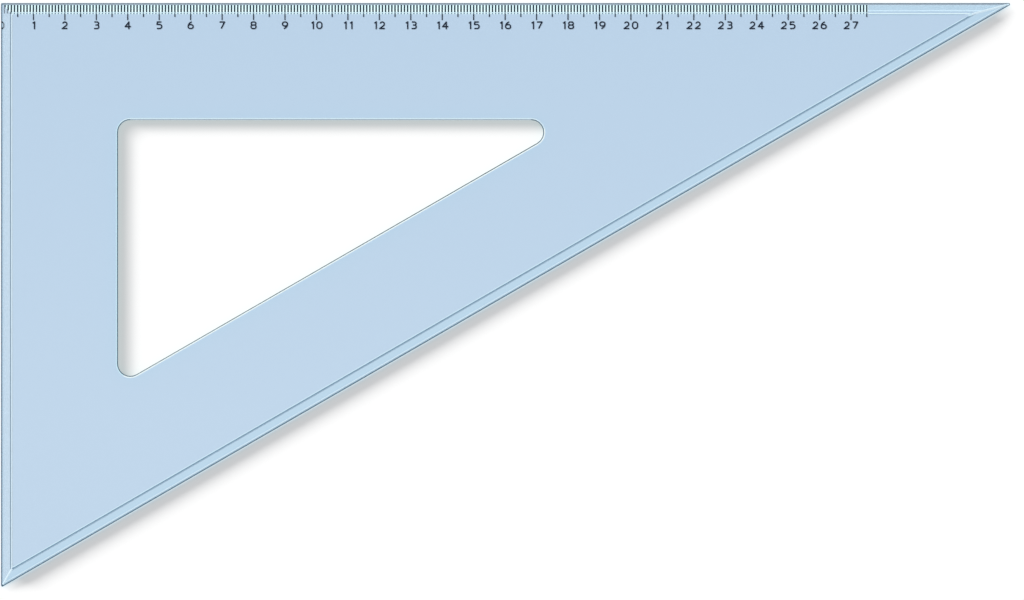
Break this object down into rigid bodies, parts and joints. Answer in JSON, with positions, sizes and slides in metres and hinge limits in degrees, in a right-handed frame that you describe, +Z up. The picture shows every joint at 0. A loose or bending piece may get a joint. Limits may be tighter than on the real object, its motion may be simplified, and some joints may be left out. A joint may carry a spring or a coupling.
{
  "type": "set square",
  "caption": "Clear blue set square: a thin right-angled triangle with bevelled edges, a triangular cut-out and a printed centimetre scale along its long edge.",
  "frame": {"origin": "centre of the plate's footprint, on the underside it lies on; it is also the middle of the hypotenuse", "axes": "+X along the graduated long edge, from the right angle towards the sharp tip; +Y square to it, towards the graduated edge; +Z up, out of the bevelled face"},
  "size_m": [0.3208, 0.1856, 0.0025],
  "materials": {
    "clear_plastic": "gloss",
    "scale_ink": "matte"
  },
  "bodies": {
    "root": {"blank": "clear_plastic", "centimetre_lines": "scale_ink", "half_centimetre_lines": "scale_ink", "millimetre_lines": "scale_ink", "numeral_0": "scale_ink", "numeral_1": "scale_ink", "numeral_2": "scale_ink", "numeral_3": "scale_ink", "numeral_4": "scale_ink", "numeral_5": "scale_ink", "numeral_6": "scale_ink", "numeral_7": "scale_ink", "numeral_8": "scale_ink", "numeral_9": "scale_ink", "numeral_10": "scale_ink", "numeral_11": "scale_ink", "numeral_12": "scale_ink", "numeral_13": "scale_ink", "numeral_14": "scale_ink", "numeral_15": "scale_ink", "numeral_16": "scale_ink", "numeral_17": "scale_ink", "numeral_18": "scale_ink", "numeral_19": "scale_ink", "numeral_20": "scale_ink", "numeral_21": "scale_ink", "numeral_22": "scale_ink", "numeral_23": "scale_ink", "numeral_24": "scale_ink", "numeral_25": "scale_ink", "numeral_26": "scale_ink", "numeral_27": "scale_ink"}
  },
  "joints": []
}
